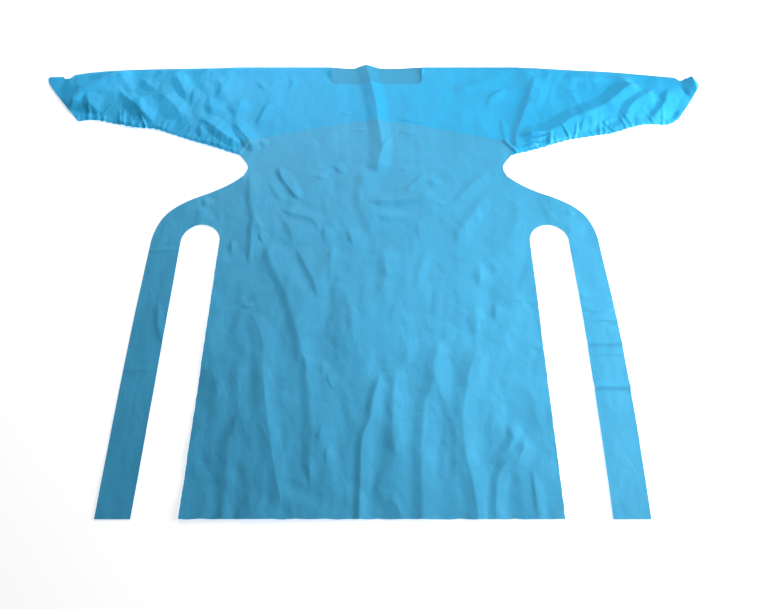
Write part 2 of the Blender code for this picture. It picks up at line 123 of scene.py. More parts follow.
# The gathers along a weld: how wide each is, how far beyond the weld it starts, how far in it may
# reach, how far it may stray and lean, and how high it stands. GATHER_UNEVEN makes most of them low.
GATHER_STEP = 4.0
GATHER_SPAN = 3
GATHER_UNEVEN = 1.6
GATHER_HALF = (2.6, 7.0)
GATHER_LEFT_SHARE = 1.5
GATHER_FOOT = 26.0
GATHER_SWELL = 9.0
GATHER_REACH = (14.0, 70.0)
GATHER_HEIGHT = (0.8, 5.6)
GATHER_END_SHARE = 0.5
GATHER_SHIFT = 0.42
GATHER_LEAN = 0.6

# The wave in the weld itself: how far it strays, over what run, how uneven that is, how many points it
# takes to set in at both ends, and what is added to the sleeve's seed for it
WELD_WAVE = 1.0
WELD_WAVE_RUN = 17.0
WELD_WAVE_UNEVEN = (0.6, 1.4)
WELD_WAVE_ENDS = 12
WELD_SEED = 100

# How finely the film is meshed: steps between points, how close they may come, and the rows of points
# beside the yoke's arch, and beside a crease as shares of its flank
EDGE_STEP = 5.0
WELD_STEP = 3.0
CREASE_STEP = 4.0
CREASE_CLEAR = 2.3
FRONT_STEP = 6.0
SLEEVE_STEP = 3.6
UNDER_STEP = 14.0
YOKE_STEP = 9.0
YOKE_EDGE_STEP = 8.0
TIE_STEP = 7.0
FOLD_STEP = 20.0
ROUTE_STEP = 9.0
FIELD_CLEAR = 0.62
SAME_POINT = 0.05
EDGE_MARGIN = 1
SLOPE_REACH = 1.0
TINY = 1e-6
MERGE = 1e-4
INSIDE_THE_RIM = 1
ARCH_HALF = 345.0
ARCH_ROWS = (-1.6, 1.6, 6.0, -6.0)
LANES = (0.0, 0.1, -0.1, 0.26, -0.26, 0.5, -0.5, 0.78, -0.78, 1.0, -1.0)

# Smooth noise: the cells before it repeats, and what brings it to about -1 to 1
NOISE_CELLS = 64
RIPPLE_GAIN = 1.5

# The small facets between the creases: their size across and along the gown, how high they stand, how
# much higher in the sleeves, and the seed of their heights. The first kind is only near the hem. All
# are bent a little, sunk so that only the highest stand up, eased where they rise, and calm in the ties.
Facets = namedtuple("Facets", "across along high more seed")
HEM_FACETS = Facets(52, 260, 3.2, 0.0, 11)
SMALL_FACETS = (
    Facets(110, 150, 3.6, 1.5, 12),
    Facets(46, 64, 3.0, 3.0, 13),
    Facets(19, 26, 1.2, 1.5, 14),
)
BEND = 18
BEND_RUN = 80
BEND_SEEDS = (5, 6)
FACETS_SINK = 3.0
FACETS_EASE = 0.15
TIE_CALM = 0.6

# Where the facets of the sleeves, the hem and the ties set in: from this x or y, over this run, and
# downward where the run is negative
SLEEVES_OUT = (330, 90)
SLEEVES_UP = (880, 40)
HEM_DOWN = (640, -260)
TIES_OUT = (430, 40)
TIES_DOWN = (650, -60)

# A crease of the film: its height at both ends of its route, how far its flanks spread to the right
# and to the left of the route, and the route of its crest. Most routes run down the gown or toward
# the wearer's left, so that the right flank is the shaded one.
Crease = namedtuple("Crease", "start end right left route")


def crease_table(*rows):
    """The creases of a table, one from each row."""
    return tuple(Crease(start, end, right, left, tuple(route)) for start, end, right, left, *route in rows)


# The ridge down the middle, in the front and in the yoke
MIDDLE_RIDGE = Crease(16.5, 6.5, 31, 30, (
    (-36, 1290), (-30, 1205), (-18, 1150), (-8, 1100), (0, 1050),
    (5, 1000), (13, 950), (15, 900), (8, 860), (4, 820),
))

# The main creases of the body, with the long ones that run down to the hem
BODY_CREASES = crease_table(
    (3.5, 2.9, 28, 31, (205, 1098), (290, 1138), (372, 1172)),
    (2.4, 1.8, 13, 31, (-312, 838), (-311, 793), (-305, 735), (-286, 685), (-258, 636)),
    (2.2, 1.8, 13, 35, (-264, 806), (-246, 770), (-220, 732)),
    (2.2, 1.8, 11, 25, (-235, 724), (-202, 706), (-150, 689), (-134, 654)),
    (2.9, 2.2, 19, 45, (-36, 848), (-32, 793), (-37, 762), (-30, 720), (-14, 676), (-8, 640)),
    (2.2, 1.8, 13, 31, (-226, 694), (-201, 657), (-195, 618)),
    (2.4, 2.2, 11, 36, (-186, 612), (-168, 577), (-148, 538), (-134, 506), (-126, 470)),
    (3.2, 2.9, 17, 51, (-258, 618), (-232, 551), (-212, 512), (-194, 466), (-178, 419), (-157, 354),
     (-143, 296), (-133, 235), (-126, 160), (-124, 70)),
    (2.4, 2.9, 25, 25, (-276, 440), (-243, 373), (-234, 296), (-217, 204), (-203, 140), (-186, 70),
     (-168, 14)),
    (2.2, 2.2, 20, 23, (-291, 330), (-284, 265), (-276, 200), (-287, 150), (-286, 70), (-284, -40)),
    (5.5, 5.0, 17, 26, (-22, 742), (35, 741), (97, 748), (152, 768)),
    (2.9, 2.4, 17, 28, (288, 834), (252, 801), (221, 766), (188, 732)),
    (2.9, 2.4, 19, 31, (275, 766), (243, 711), (212, 661), (190, 620)),
    (2.2, 1.8, 14, 20, (131, 608), (114, 576), (102, 533), (94, 496)),
    (2.9, 2.2, 20, 36, (20, 614), (27, 540), (14, 476)),
    (3.2, 3.5, 20, 36, (150, 374), (130, 323), (129, 277), (111, 240), (100, 165), (97, 100),
     (98, 0), (99, -60)),
    (3.1, 3.6, 25, 33, (230, 366), (203, 296), (194, 250), (183, 190), (187, 119), (198, 60),
     (206, -60)),
    (2.9, 2.4, 14, 25, (310, 172), (299, 126), (270, 108), (250, 85), (238, 30), (234, -50)),
    (3.4, 3.0, 12, 26, (18, 300), (0, 235), (-6, 195), (-22, 150), (-23, 90), (-25, -50)),
)

# The finer creases of the body, from the shoulders down to the hem
FINE_CREASES = crease_table(
    (2.8, 2.2, 23, 13, (-620, 1184), (-450, 1187), (-300, 1186), (-170, 1188)),
    (2.0, 1.8, 7, 14, (-102, 1031), (-86, 1027), (-68, 1019)),
    (2.8, 2.2, 8, 20, (-334, 1144), (-318, 1130), (-298, 1106)),
    (2.8, 2.3, 8, 20, (-245, 1167), (-230, 1140), (-241, 1108)),
    (3.2, 3.4, 9, 28, (-288, 1074), (-304, 1012), (-322, 974)),
    (3.3, 3.0, 8, 20, (-352, 944), (-343, 925), (-329, 902)),
    (3.3, 2.8, 8, 20, (-302, 943), (-295, 928), (-284, 907)),
    (2.0, 1.8, 7, 14, (52, 960), (88, 958), (124, 954)),
    (1.8, 1.3, 6, 11, (-60, 966), (-38, 968), (-16, 967)),
    (2.8, 2.2, 10, 28, (352, 1124), (326, 1098), (294, 1070)),
    (3.3, 2.8, 9, 20, (362, 1117), (312, 1082), (300, 1038)),
    (2.2, 1.8, 8, 20, (44, 1009), (96, 1000), (156, 985)),
    (7.4, 3.7, 6, 9, (-128, 1204), (-127, 1176), (-127, 1142)),
    (11.0, 5.5, 9, 9, (117, 1206), (121, 1188), (124, 1160)),
    (2.8, 1.9, 7, 14, (38, 942), (24, 918), (12, 892)),
    (3.3, 2.8, 9, 23, (-250, 856), (-235, 815), (-215, 785), (-203, 766), (-172, 738)),
    (2.8, 2.0, 8, 23, (-108, 856), (-92, 838), (-74, 822)),
    (2.0, 2.0, 7, 17, (-164, 816), (-140, 814), (-114, 809)),
    (1.8, 1.3, 6, 13, (83, 849), (70, 842), (56, 834)),
    (3.3, 2.8, 12, 28, (130, 828), (95, 791), (62, 759)),
    (2.8, 2.2, 10, 20, (116, 802), (146, 797), (174, 789)),
    (3.3, 2.8, 12, 28, (-296, 704), (-293, 630), (-290, 556)),
    (2.2, 1.9, 7, 17, (-279, 657), (-270, 636), (-261, 614)),
    (2.0, 1.8, 7, 17, (-340, 634), (-337, 608), (-335, 580)),
    (2.2, 1.9, 9, 20, (-419, 758), (-415, 737), (-409, 714)),
    (2.8, 2.2, 8, 28, (-122, 676), (-120, 648), (-117, 614)),
    (2.8, 2.2, 9, 28, (-67, 668), (-57, 638), (-47, 606)),
    (3.3, 3.0, 18, 23, (2, 695), (42, 694), (88, 701)),
    (1.8, 1.3, 7, 14, (140, 733), (160, 733), (181, 731)),
    (2.0, 1.9, 7, 20, (106, 694), (105, 656), (106, 618)),
    (3.3, 2.8, 18, 23, (244, 568), (243, 534), (241, 496)),
    (2.0, 2.0, 8, 13, (296, 466), (332, 466), (380, 466)),
    (2.8, 2.3, 10, 25, (272, 468), (271, 440), (269, 411)),
    (2.8, 2.3, 20, 28, (228, 456), (226, 414), (224, 369)),
    (1.8, 1.3, 7, 13, (-302, 453), (-284, 454), (-264, 452)),
    (1.3, 1.3, 8, 20, (-102, 622), (-101, 560), (-103, 498)),
    (1.8, 1.8, 7, 11, (337, 352), (352, 352), (380, 352)),
    (3.3, 3.0, 22, 28, (50, 314), (43, 242), (40, 181), (50, 115)),
    (1.3, 1.1, 6, 23, (-153, 341), (-145, 316), (-137, 290)),
    (1.2, 1.1, 6, 20, (-108, 326), (-108, 308), (-108, 288)),
    (1.5, 1.3, 6, 23, (-101, 300), (-92, 277), (-83, 252)),
    (1.5, 1.3, 6, 22, (-100, 192), (-106, 166), (-113, 138)),
    (1.3, 1.1, 6, 20, (-88, 146), (-91, 124), (-94, 100)),
    (1.3, 1.1, 6, 20, (-124, 108), (-123, 82), (-122, 54)),
    (3.0, 2.6, 14, 23, (270, 194), (284, 160), (262, 125), (226, 102)),
    (1.8, 1.5, 6, 17, (311, 96), (316, 58), (318, -10)),
    (2.0, 1.9, 7, 13, (460, 700), (475, 706), (492, 702)),
)

# The creases across the ties
TIE_CREASES = crease_table(
    (4.4, 3.6, 6, 13, (400, 258), (500, 264), (600, 262)),
    (3.4, 3.0, 6, 13, (400, 366), (500, 362), (600, 360)),
    (1.6, 1.2, 9, 14, (-488, 470), (-476, 410), (-455, 356)),
    (1.7, 1.4, 5, 9, (440, 334), (500, 339), (564, 336)),
    (1.8, 2.2, 5, 11, (440, 410), (490, 420), (564, 412)),
    (1.6, 2.4, 5, 10, (452, 448), (506, 440), (552, 447)),
    (1.8, 1.4, 6, 12, (440, 484), (500, 476), (564, 479)),
    (1.2, 1.0, 6, 9, (-548, 596), (-500, 600), (-448, 603)),
    (0.5, 0.4, 6, 9, (-548, 300), (-500, 303), (-448, 301)),
)

# The left sleeve: the long folds from the cuff to the arm, the raised fold at the cuff's tip, and the
# wrinkles under the arm
LEFT_CREASES = crease_table(
    (7.3, 7.3, 14, 46, (441, 1164), (422, 1110), (413, 1080), (398, 1040), (380, 990), (364, 940),
     (357, 896)),
    (13.0, 9.0, 38, 52, (712, 1140), (672, 1102), (622, 1056), (570, 1024), (515, 998), (482, 970),
     (448, 954), (372, 938)),
    (9.0, 7.3, 21, 46, (756, 1112), (727, 1083), (702, 1062), (678, 1042), (662, 1014), (654, 990)),
    (7.9, 6.1, 17, 38, (794, 1112), (776, 1066), (756, 1034), (736, 1008), (720, 990)),
    (11.0, 18.5, 26, 24, (866, 1215), (862, 1142), (862, 1110), (862, 1066)),
    (6.1, 6.1, 15, 33, (510, 1152), (600, 1150), (716, 1142)),
    (3.1, 2.6, 9, 16, (333, 1014), (335, 960), (344, 902)),
    (3.6, 3.2, 11, 20, (817, 1038), (804, 1020), (790, 1002)),
    (2.4, 2.2, 11, 16, (486, 1119), (524, 1116), (564, 1111)),
    (7.8, 6.6, 7, 9, (368, 943), (430, 948), (458, 953)),
    (7.8, 6.6, 7, 9, (370, 927), (420, 930), (453, 939)),
    (6.8, 5.8, 6, 8, (372, 911), (405, 914), (432, 923)),
    (3.6, 3.6, 8, 20, (553, 1004), (540, 975), (537, 944)),
    (2.6, 2.2, 7, 12, (646, 1003), (618, 1002), (590, 982)),
    (2.4, 2.2, 7, 12, (658, 991), (642, 984), (621, 975)),
    (3.1, 2.6, 8, 16, (828, 1140), (840, 1110), (851, 1076)),
)

# The right sleeve: its broad main fold from the top down to the cuff comes first
RIGHT_CREASES = crease_table(
    (8.0, 9.0, 84, 14, (-668, 1190), (-730, 1142), (-758, 1115), (-788, 1092), (-800, 1070),
     (-820, 1026)),
    (11.0, 13.1, 22, 84, (-672, 1176), (-730, 1140), (-758, 1115), (-788, 1092), (-800, 1070),
     (-818, 1036)),
    (6.9, 6.2, 18, 36, (-776, 1098), (-771, 1068), (-757, 1044), (-732, 1022)),
    (7.4, 6.8, 29, 26, (-696, 1100), (-640, 1048), (-612, 1012), (-580, 988)),
    (6.8, 6.4, 20, 41, (-632, 1096), (-631, 1060), (-612, 1020), (-588, 994)),
    (8.2, 6.9, 44, 30, (-590, 1098), (-540, 1050), (-508, 1000)),
    (6.6, 5.7, 22, 30, (-558, 1174), (-529, 1120), (-503, 1066)),
    (5.6, 5.1, 20, 26, (-438, 1158), (-420, 1112), (-430, 1072)),
    (7.6, 7.6, 20, 30, (-374, 1002), (-350, 958), (-327, 930), (-312, 890)),
    (6.8, 6.4, 20, 33, (-468, 1010), (-430, 978), (-390, 944), (-340, 910)),
    (5.5, 4.6, 22, 26, (-653, 1161), (-618, 1124), (-589, 1103)),
    (4.1, 3.8, 11, 18, (-491, 1119), (-492, 1082), (-495, 1044)),
    (4.1, 3.6, 18, 24, (-447, 1084), (-444, 1050), (-440, 1016)),
    (4.1, 3.6, 18, 30, (-407, 1070), (-428, 1042), (-451, 1014)),
    (5.5, 4.6, 27, 26, (-363, 1086), (-365, 1046), (-368, 1006)),
    (6.3, 5.5, 15, 18, (-462, 994), (-457, 966), (-452, 934)),
)

# A sleeve's outline beyond the armhole, x counted outward: the fold on top, the thumb hole cut
# through it, the tip, the cuff and the gathered underarm weld, with the number of its gathers.
Sleeve = namedtuple("Sleeve", "name side fold thumb tip cuff underarm gathers seed")

SLEEVES = (
    Sleeve(
        "sleeve_left", 1,
        ((443, 1197), (542, 1189), (652, 1181), (761, 1168), (826, 1160)),
        ((826, 1160), (829, 1144), (838, 1140), (851, 1149)),
        ((851, 1149), (863, 1151), (885, 1138)),
        ((885, 1138), (877, 1116), (851, 1074), (804, 1008)),
        ((804, 1008), (768, 988), (699, 985), (614, 958), (518, 938), (452, 916), (388, 897), (347, 884)),
        30, 7,
    ),
    Sleeve(
        "sleeve_right", -1,
        ((443, 1197), (600, 1193), (715, 1188), (790, 1180), (838, 1170)),
        ((838, 1170), (841, 1154), (857, 1152), (867, 1163)),
        ((867, 1163), (903, 1162)),
        ((903, 1162), (896, 1132), (848, 1070), (789, 1000)),
        ((789, 1000), (742, 1003), (641, 978), (577, 970), (476, 932), (411, 909), (347, 884)),
        40, 3,
    ),
)

# A tie's inner and outer edge at each height, x counted outward
TieRow = namedtuple("TieRow", "y inner outer")
TIES = (
    ("tie_left", 1, (TieRow(625, 460, 530.5), TieRow(420, 464, 539), TieRow(210, 463.5, 539),
                     TieRow(0, 460, 533))),
    ("tie_right", -1, (TieRow(625, 460, 530.5), TieRow(420, 460, 533), TieRow(210, 460, 532),
                       TieRow(0, 460, 529))),
)

# Where the back neck edge dips below the shoulder line: x, and how far down it hangs there
NECK_EDGE = ((-126, 0.0), (-100, 3.0), (-70, 4.6), (-50, 2.0), (-30, 0.0), (-8, 0.0), (16, 4.0),
             (40, 5.0), (75, 3.6), (105, 1.4), (126, 0.0))


# Lines in plan

def place(points):
    """Metres in the part's frame: the plan's box is centred over the origin."""
    shift = np.array(((RIGHT_REACH - LEFT_REACH) / 2, -LENGTH / 2, 0.0))
    return (np.asarray(points, float) + shift) * MM


def flip(points, side):
    """The points with x turned to the given side."""
    return [(side * x, y) for x, y in points]


def spaced(points, step=EDGE_STEP):
    """Points along the straight runs between the given points, about a step apart."""
    found = [points[0]]
    for (x0, y0), (x1, y1) in zip(points, points[1:]):
        count = max(1, round(math.hypot(x1 - x0, y1 - y0) / step))
        found += [(x0 + (x1 - x0) * i / count, y0 + (y1 - y0) * i / count) for i in range(1, count + 1)]
    return found


def smooth(points, step=EDGE_STEP):
    """Points about a step apart on a smooth curve through the given points."""
    padded = [points[0], *points, points[-1]]
    found = [points[0]]
    for before, here, there, after in zip(padded, padded[1:], padded[2:], padded[3:]):
        count = max(1, round(math.dist(here, there) / step))
        for i in range(1, count + 1):
            t = i / count
            weights = (2 * t**2 - t - t**3, 2 - 5 * t**2 + 3 * t**3, t + 4 * t**2 - 3 * t**3, t**3 - t**2)
            near = (before, here, there, after)
            found.append(tuple(sum(w * p[k] for w, p in zip(weights, near)) / 2 for k in (0, 1)))
    return found


def arc(centre, radius, first, last):
    """Points on an arc between two angles in degrees."""
    count = max(2, round(abs(math.radians(last - first)) * radius / EDGE_STEP))
    angles = [math.radians(first + (last - first) * i / count) for i in range(count + 1)]
    return [(centre[0] + radius * math.cos(a), centre[1] + radius * math.sin(a)) for a in angles]


def pulled(a, b, c, d):
    """Points on a curve from a to d, pulled toward b and c."""
    count = max(2, round((math.dist(a, b) + math.dist(b, c) + math.dist(c, d)) / EDGE_STEP))
    found = []
    for i in range(count + 1):
        t = i / count
        weights = ((1 - t) ** 3, 3 * t * (1 - t) ** 2, 3 * t * t * (1 - t), t**3)
        found.append(tuple(sum(w * p[k] for w, p in zip(weights, (a, b, c, d))) for k in (0, 1)))
    return found


def joined(*runs):
    """One list of points from runs that meet end to end, with no point twice."""
    found = []
    for point in (point for run in runs for point in run):
        if not found or math.dist(point, found[-1]) > SAME_POINT:
            found.append(point)
    if math.dist(found[0], found[-1]) < SAME_POINT:
        found.pop()
    return found


def ramp(t):
    """0 to 1, level at both ends."""
    t = np.clip(t, 0.0, 1.0)
    return t * t * (3 - 2 * t)


def set_in(value, start, run):
    """0 where something starts to set in, 1 where its run ends."""
    return ramp((value - start) / run)


def line_distance(line, xy):
    """How far each point is from a line, how far along the line its nearest place is, and whether the
    point lies to the left of the line."""
    line = np.array(line)
    lengths = np.hypot(*np.diff(line, axis=0).T)
    before = np.concatenate(([0.0], np.cumsum(lengths)))
    nearest = np.full(len(xy), np.inf)
    along = np.zeros(len(xy))
    leftward = np.zeros(len(xy), bool)
    for a, b, length, start in zip(line, line[1:], lengths, before):
        t = np.clip((xy - a) @ (b - a) / length**2, 0.0, 1.0)
        away = xy - (a + t[:, None] * (b - a))
        distance = np.hypot(*away.T)
        closer = distance < nearest - TINY
        side = (b - a)[0] * (xy - a)[:, 1] - (b - a)[1] * (xy - a)[:, 0] > 0
        nearest = np.where(closer, distance, nearest)
        along = np.where(closer, (start + t * length) / before[-1], along)
        leftward = np.where(closer, side, leftward)
    return nearest, along, leftward


def armhole_x(y):
    """Where the armhole's line lies at a height."""
    (low_x, low_y), (top_x, top_y) = ARMHOLE_LOW, ARMHOLE_TOP
    return low_x + (top_x - low_x) * (y - low_y) / (top_y - low_y)


def on_armhole(y):
    """The point of the armhole's line at a height."""
    return float(armhole_x(y)), y


def yoke_edge(x):
    """The back yoke's lower edge: a flat arch that drops to the underarm at its ends."""
    x = np.abs(x)
    arch = YOKE_MIDDLE_Y - YOKE_DROP * (x / YOKE_DROP_X) ** YOKE_POWER
    past = np.clip((x - YOKE_DROP_X) / (armhole_x(YOKE_END_Y) - YOKE_DROP_X), 0.0, 1.0)
    low = YOKE_MIDDLE_Y - YOKE_DROP
    return np.where(x < YOKE_DROP_X, arch, low - past * (low - YOKE_END_Y))


def weld_line(sleeve):
    """The underarm weld from the cuff to the armhole, drawn up a little by its gathers."""
    line = smooth(sleeve.underarm, WELD_STEP)
    chance = random.Random(sleeve.seed + WELD_SEED)
    found, phase = [line[0]], chance.uniform(0, math.tau)
    for i in range(1, len(line) - 1):
        (x0, y0), (x1, y1) = line[i - 1], line[i + 1]
        run = math.hypot(x1 - x0, y1 - y0)
        phase += WELD_STEP / WELD_WAVE_RUN * math.tau * chance.uniform(*WELD_WAVE_UNEVEN)
        ends = min(1.0, min(i, len(line) - 1 - i) / WELD_WAVE_ENDS)
        shift = WELD_WAVE * math.sin(phase) * ends
        found.append((line[i][0] + (y1 - y0) / run * shift, line[i][1] - (x1 - x0) / run * shift))
    return found + [line[-1]]


WELDS = {sleeve.side: flip(weld_line(sleeve), sleeve.side) for sleeve in SLEEVES}
SHOULDER = ((NECK_HALF, LENGTH), (SHOULDER_X, LENGTH))
FOLDS = {
    sleeve.side: flip((*SHOULDER, *smooth(sleeve.fold, FOLD_STEP)), sleeve.side) for sleeve in SLEEVES
}
TIPS = {sleeve.side: flip(sleeve.tip, sleeve.side) for sleeve in SLEEVES}


# Creases and how the film lies

def gathers(sleeve):
    """The short uneven creases that rise from the underarm weld, where its film was drawn up."""
    chance = random.Random(sleeve.seed)
    seam = smooth(sleeve.underarm, GATHER_STEP)
    spacing = len(seam) / sleeve.gathers
    found = []
    for i in range(sleeve.gathers):
        at = int((i + 0.5 + chance.uniform(-GATHER_SHIFT, GATHER_SHIFT)) * spacing)
        x, y = seam[at]
        (x0, y0), (x1, y1) = seam[max(at - GATHER_SPAN, 0)], seam[min(at + GATHER_SPAN, len(seam) - 1)]
        run = math.hypot(x1 - x0, y1 - y0)
        up = ((y1 - y0) / run + chance.uniform(-GATHER_LEAN, GATHER_LEAN), -(x1 - x0) / run)
        stops = (-GATHER_FOOT, GATHER_SWELL, chance.uniform(*GATHER_REACH))
        route = tuple((sleeve.side * (x + up[0] * far), y + up[1] * far) for far in stops)
        strength = chance.random() ** GATHER_UNEVEN
        height = GATHER_HEIGHT[0] + (GATHER_HEIGHT[1] - GATHER_HEIGHT[0]) * strength
        half = chance.uniform(*GATHER_HALF)
        found.append(Crease(height, height * GATHER_END_SHARE, half, half * GATHER_LEFT_SHARE, route))
    return tuple(found)


CREASES = BODY_CREASES + FINE_CREASES + TIE_CREASES + LEFT_CREASES + RIGHT_CREASES
CREASES += sum((gathers(sleeve) for sleeve in SLEEVES), ())
ROUTES = {crease: smooth(crease.route, ROUTE_STEP) for crease in (MIDDLE_RIDGE, *CREASES)}


def crease_height(crease, xy):
    """How far one crease lifts the film at each point."""
    line = np.array(ROUTES[crease])
    reach = max(crease.right, crease.left)
    near = ((xy > line.min(axis=0) - reach) & (xy < line.max(axis=0) + reach)).all(axis=1)
    height = np.zeros(len(xy))
    if near.any():
        distance, along, leftward = line_distance(line, xy[near])
        softened = np.sqrt(distance**2 + CREST_RADIUS**2) - CREST_RADIUS
        share = min(0.5, CREASE_TAPER / np.hypot(*np.diff(line, axis=0).T).sum())
        ends = ramp(along / share) * ramp((1 - along) / share)
        width = np.where(leftward, crease.left, crease.right) * (TAPER_WIDTH + (1 - TAPER_WIDTH) * ends)
        t = np.clip(softened / width, 0.0, 1.0)
        crest = crease.start + (crease.end - crease.start) * along
        height[near] = crest * ends * (1 + FOOT) * (1 - t) ** 2 / (1 - t + FOOT)
    return height


def ripple(xy, across, along, seed):
    """Smooth noise from about -1 to 1 whose swells are of the given sizes."""
    angles = np.random.default_rng(seed).uniform(0, math.tau, (NOISE_CELLS, NOISE_CELLS))
    grid = xy / (across, along)
    cell = np.floor(grid).astype(int)
    part = grid - cell
    ease = part**3 * (part * (part * 6 - 15) + 10)
    total = np.zeros(len(xy))
    for i in (0, 1):
        for j in (0, 1):
            angle = angles[(cell[:, 0] + i) % NOISE_CELLS, (cell[:, 1] + j) % NOISE_CELLS]
            slope = np.cos(angle) * (part[:, 0] - i) + np.sin(angle) * (part[:, 1] - j)
            share = (ease[:, 0] if i else 1 - ease[:, 0]) * (ease[:, 1] if j else 1 - ease[:, 1])
            total += share * slope
    return total * RIPPLE_GAIN


def facets(xy, kind):
    """Flat facets of one kind that meet at sharp edges, from 0 to 1 high, as in crushed film."""
    heights = np.random.default_rng(kind.seed).uniform(0, 1, (NOISE_CELLS, NOISE_CELLS))
    up = xy[:, 1] / kind.along
    over = xy[:, 0] / kind.across - up / 2
    i, j = np.floor(over).astype(int), np.floor(up).astype(int)
    a, b = over - i, up - j
    far = a + b > 1
    i0, i1, j0, j1 = (cells % NOISE_CELLS for cells in (i, i + 1, j, j + 1))
    near_corner = np.where(far, heights[i1, j1], heights[i0, j0])
    right, left = heights[i1, j0], heights[i0, j1]
    to_right, to_left = np.where(far, 1 - b, a), np.where(far, 1 - a, b)
    return near_corner + to_right * (right - near_corner) + to_left * (left - near_corner)


def crumple(xy):
    """The small facets of film that was packed folded: long upright ones toward the hem, and deeper, more
    broken ones in the sleeves."""
    x, y = xy.T
    bent = xy + np.column_stack([ripple(xy, BEND_RUN, BEND_RUN, seed) for seed in BEND_SEEDS]) * BEND
    sleeves = set_in(np.abs(x), *SLEEVES_OUT) * set_in(y, *SLEEVES_UP)
    total = facets(bent, HEM_FACETS) * HEM_FACETS.high * set_in(y, *HEM_DOWN)
    for kind in SMALL_FACETS:
        total += facets(bent, kind) * (kind.high + kind.more * sleeves)
    ties = set_in(np.abs(x), *TIES_OUT) * set_in(y, *TIES_DOWN)
    total = (total - FACETS_SINK) * (1 - TIE_CALM * ties)
    return (total + np.sqrt(total**2 + FACETS_EASE)) / 2


def edge_fades(xy):
    """How much of the creases is left toward the folds on top and toward the underarm welds, and how
    far each point is from both."""
    to_fold = np.full(len(xy), np.inf)
    to_weld = np.full(len(xy), np.inf)
    for side in (1, -1):
        near = side * xy[:, 0] > FOLD_NEAR_X
        for line, stretch in ((FOLDS[side], 1.0), (TIPS[side], TIP_STRETCH)):
            to_fold[near] = np.minimum(to_fold[near], stretch * line_distance(line, xy[near])[0])
        near = (side * xy[:, 0] > WELD_NEAR_X) & (xy[:, 1] > WELD_NEAR_Y)
        to_weld[near] = np.minimum(to_weld[near], line_distance(WELDS[side], xy[near])[0])
    at_weld = WELD_SHARE + (1 - WELD_SHARE) * ramp(to_weld / WELD_FADE)
    return ramp(to_fold / EDGE_FADE) * at_weld, to_fold, to_weld


def lie(xy):
    """What every layer of the film follows at each point: the ridge's height, the other creases'
    height, how far the point is from a closed edge, and how far out it is on a sleeve."""
    fade, to_fold, to_weld = edge_fades(xy)
    ridge = crease_height(MIDDLE_RIDGE, xy)
    other = sum((crease_height(crease, xy) for crease in CREASES), crumple(xy)) * fade
    over, room = ridge + other - LIFT_SOFT, LIFT_MOST - LIFT_SOFT
    other -= np.where(over > 0, over - room * (1 - np.exp(-np.maximum(over, 0) / room)), 0.0)
    at_arm = xy[:, 1] >= ARMHOLE_LOW[1] - EDGE_MARGIN
    out = np.where(at_arm, np.maximum(np.abs(xy[:, 0]) - armhole_x(xy[:, 1]), 0.0), 0.0)
    return ridge, other, to_fold, to_weld, out


def upper_film(xy):
    """The outer face of the upper layer: on the surface, and over the layer under it where there is one."""
    ridge, other, to_fold, to_weld, out = lie(xy)
    below = (yoke_edge(xy[:, 0]) - xy[:, 1] - STEP_CLEAR) / STEP_RUN
    doubled = np.maximum(1 - ramp(below), ramp(out / STEP_RUN))
    loft = LOFT * ramp(np.minimum(to_fold, to_weld) / LOFT_RUN) * ramp(out / LOFT_RUN)
    raised = doubled * (FILM + LAYER_GAP * ramp(to_weld / WELD_FADE))
    return FILM + raised + ridge + other + loft


def under_film(xy):
    """The outer face of the layer that lies under: its creases are those above it, pressed flatter."""
    ridge, other, to_fold, to_weld, out = lie(xy)
    share = UNDER_SHARE + (1 - UNDER_SHARE) * (1 - ramp(to_weld / WELD_FADE))
    return ridge * BACK_RIDGE_SHARE + other * share


def slopes(surface, xy):
    """Upward normals of a height over the plan."""
    ways = SLOPE_REACH * np.eye(2)
    dx, dy = ((surface(xy + way) - surface(xy - way)) / (2 * SLOPE_REACH) for way in ways)
    normals = np.column_stack((-dx, -dy, np.ones(len(xy))))
    return normals / np.linalg.norm(normals, axis=1)[:, None]


# Points and faces of a panel

def inside(outline, points):
    """Which points lie inside the outline."""
    ring = np.array(outline)
    after = np.roll(ring, -1, axis=0)
    px, py = points[:, :1], points[:, 1:]
    crosses = (ring[:, 1] > py) != (after[:, 1] > py)
    rise = np.where(after[:, 1] == ring[:, 1], 1.0, after[:, 1] - ring[:, 1])
    at = ring[:, 0] + (py - ring[:, 1]) * (after[:, 0] - ring[:, 0]) / rise
    return (crosses & (px < at)).sum(axis=1) % 2 == 1


def crease_lanes(creases):
    """Points on each crease's crest and down its flanks."""
    for crease in creases:
        route = smooth(crease.route, CREASE_STEP)
        for share in LANES:
            for i, (x, y) in enumerate(route):
                ahead, behind = route[min(i + 1, len(route) - 1)], route[max(i - 1, 0)]
                run = math.dist(ahead, behind)
                reach = share * (crease.left if share > 0 else crease.right)
                yield x - (ahead[1] - behind[1]) / run * reach, y + (ahead[0] - behind[0]) / run * reach


def even_field(outline, step):
    """An even field of points over the outline's box, each row half a step along from the last."""
    low, high = np.min(outline, axis=0), np.max(outline, axis=0)
    rows = np.arange(low[1] + step / 3, high[1], step * math.sin(math.radians(60)))
    for row, y in enumerate(rows):
        for x in np.arange(low[0] + step / 4 * (1 + row % 2 * 2), high[0], step):
            yield x, y


